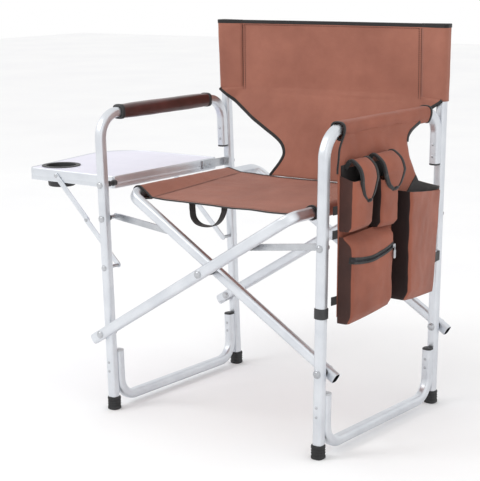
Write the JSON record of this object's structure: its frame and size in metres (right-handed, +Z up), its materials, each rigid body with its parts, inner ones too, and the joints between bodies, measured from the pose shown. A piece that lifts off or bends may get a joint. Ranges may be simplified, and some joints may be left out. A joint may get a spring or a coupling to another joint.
{
  "type": "director chair",
  "caption": "Folding director's chair with a scissor frame, a drop-leaf side table with a cup holder, and a fabric organiser on the other armrest.",
  "frame": {"origin": "on the floor, under the middle of the whole chair's bounding box with the table up", "axes": "+X across the seat towards the organiser side, +Y from the seat's front to the backrest, +Z up"},
  "size_m": [0.9732, 0.536, 0.8641],
  "materials": {
    "aluminium": "satin anodised",
    "steel": "plated",
    "black_plastic": "matt moulded",
    "canvas": "woven polyester canvas",
    "grip_vinyl": "padded vinyl",
    "table_plastic": "smooth laminate",
    "webbing": "woven tape"
  },
  "bodies": {
    "left_frame": {"left_armrest_tube": "aluminium", "left_rear_post": "aluminium", "left_floor_rail": "aluminium", "left_armrest_plug": "black_plastic", "left_front_rail_plug": "black_plastic", "left_rear_rail_plug": "black_plastic", "left_armrest_grip": "grip_vinyl", "left_back_sleeve": "canvas", "left_front_foot": "black_plastic", "left_rear_foot": "black_plastic", "left_front_pivot_bolt": "steel", "left_rear_pivot_bolt": "steel", "front_hinge_bolt": "black_plastic", "rear_hinge_bolt": "steel", "back_fabric": "canvas", "waist_fabric": "canvas"},
    "scissor_a": {"scissor_a_tube": "aluminium", "scissor_a_seat_sleeve": "canvas", "front_cross_bolt": "steel", "rear_cross_bolt": "steel", "seat_fabric": "canvas", "carry_strap": "webbing"},
    "scissor_b": {"scissor_b_tube": "aluminium", "scissor_b_seat_sleeve": "canvas"},
    "right_frame": {"right_armrest_tube": "aluminium", "right_rear_post": "aluminium", "right_floor_rail": "aluminium", "right_armrest_plug": "black_plastic", "right_front_rail_plug": "black_plastic", "right_rear_rail_plug": "black_plastic", "right_armrest_grip": "canvas", "right_back_sleeve": "canvas", "right_front_foot": "black_plastic", "right_rear_foot": "black_plastic", "right_front_pivot_bolt": "steel", "right_rear_pivot_bolt": "steel", "organiser_panel": "canvas", "tall_pocket": "canvas", "zip_pocket": "canvas", "front_flap_pocket": "canvas", "middle_flap_pocket": "canvas"},
    "left_links": {"left_front_link": "steel", "left_rear_link": "steel"},
    "right_links": {"right_front_link": "steel", "right_rear_link": "steel"},
    "table": {"table_rim": "aluminium", "table_top": "table_plastic", "cup_holder": "black_plastic", "rear_hinge_bracket": "steel"},
    "lower_braces": {"front_lower_brace": "aluminium", "rear_lower_brace": "aluminium"},
    "upper_braces": {"front_upper_brace": "aluminium", "rear_upper_brace": "aluminium"},
    "front_flap": {"front_flap": "canvas"},
    "middle_flap": {"middle_flap": "canvas"},
    "zip_pull": {"zip_pull": "steel"}
  },
  "joints": [
    {"name": "fold", "type": "hinge", "parent": "left_frame", "child": "scissor_a", "pos_m": [-0.15685, -0.00025, 0.182], "axis": [0, -1, 0], "range_deg": [0, 47.1], "deforming": ["seat_fabric", "back_fabric", "waist_fabric", "carry_strap"]},
    {"name": "scissor_cross", "type": "hinge", "parent": "scissor_a", "child": "scissor_b", "pos_m": [0.13098, -0.00025, 0.3573], "axis": [0, -1, 0], "range_deg": [-94.2, 0]},
    {"name": "right_foot_pivot", "type": "hinge", "parent": "scissor_b", "child": "right_frame", "pos_m": [0.41881, -0.00025, 0.182], "axis": [0, -1, 0], "range_deg": [0, 47.1]},
    {"name": "left_link_pivot", "type": "hinge", "parent": "left_frame", "child": "left_links", "pos_m": [-0.16375, -0.00025, 0.442], "axis": [0, -1, 0], "range_deg": [0, 81.55]},
    {"name": "right_link_pivot", "type": "hinge", "parent": "right_frame", "child": "right_links", "pos_m": [0.42571, -0.00025, 0.442], "axis": [0, -1, 0], "range_deg": [-81.55, 0]},
    {"name": "table_fold", "type": "hinge", "parent": "left_frame", "child": "table", "pos_m": [-0.16576, -0.00025, 0.518], "axis": [0, -1, 0], "range_deg": [0, 90]},
    {"name": "lower_brace_pivot", "type": "hinge", "parent": "left_frame", "child": "lower_braces", "pos_m": [-0.16077, -0.00025, 0.33], "axis": [0, -1, 0], "range_deg": [0, 133.34]},
    {"name": "upper_brace_pivot", "type": "hinge", "parent": "table", "child": "upper_braces", "pos_m": [-0.35276, -0.00025, 0.518], "axis": [0, -1, 0], "range_deg": [-134.55, 0]},
    {"name": "front_flap_lift", "type": "hinge", "parent": "right_frame", "child": "front_flap", "pos_m": [0.47874, -0.00025, 0.6045], "axis": [0, -1, 0], "range_deg": [0, 120]},
    {"name": "middle_flap_lift", "type": "hinge", "parent": "right_frame", "child": "middle_flap", "pos_m": [0.47901, -0.00025, 0.61449], "axis": [0, -1, 0], "range_deg": [0, 120]},
    {"name": "zip_slide", "type": "slide", "parent": "right_frame", "child": "zip_pull", "axis": [0, -1, 0], "range_m": [0, 0.14]}
  ],
  "couplings": [
    {"joint": "scissor_cross", "follows": "fold", "ratio": -2},
    {"joint": "right_foot_pivot", "follows": "fold", "ratio": 1},
    {"joint": "left_link_pivot", "follows": "fold", "ratio": 1.7313},
    {"joint": "right_link_pivot", "follows": "fold", "ratio": -1.7313},
    {"joint": "lower_brace_pivot", "follows": "table_fold", "ratio": 1.4815},
    {"joint": "upper_brace_pivot", "follows": "table_fold", "ratio": -1.4949}
  ]
}
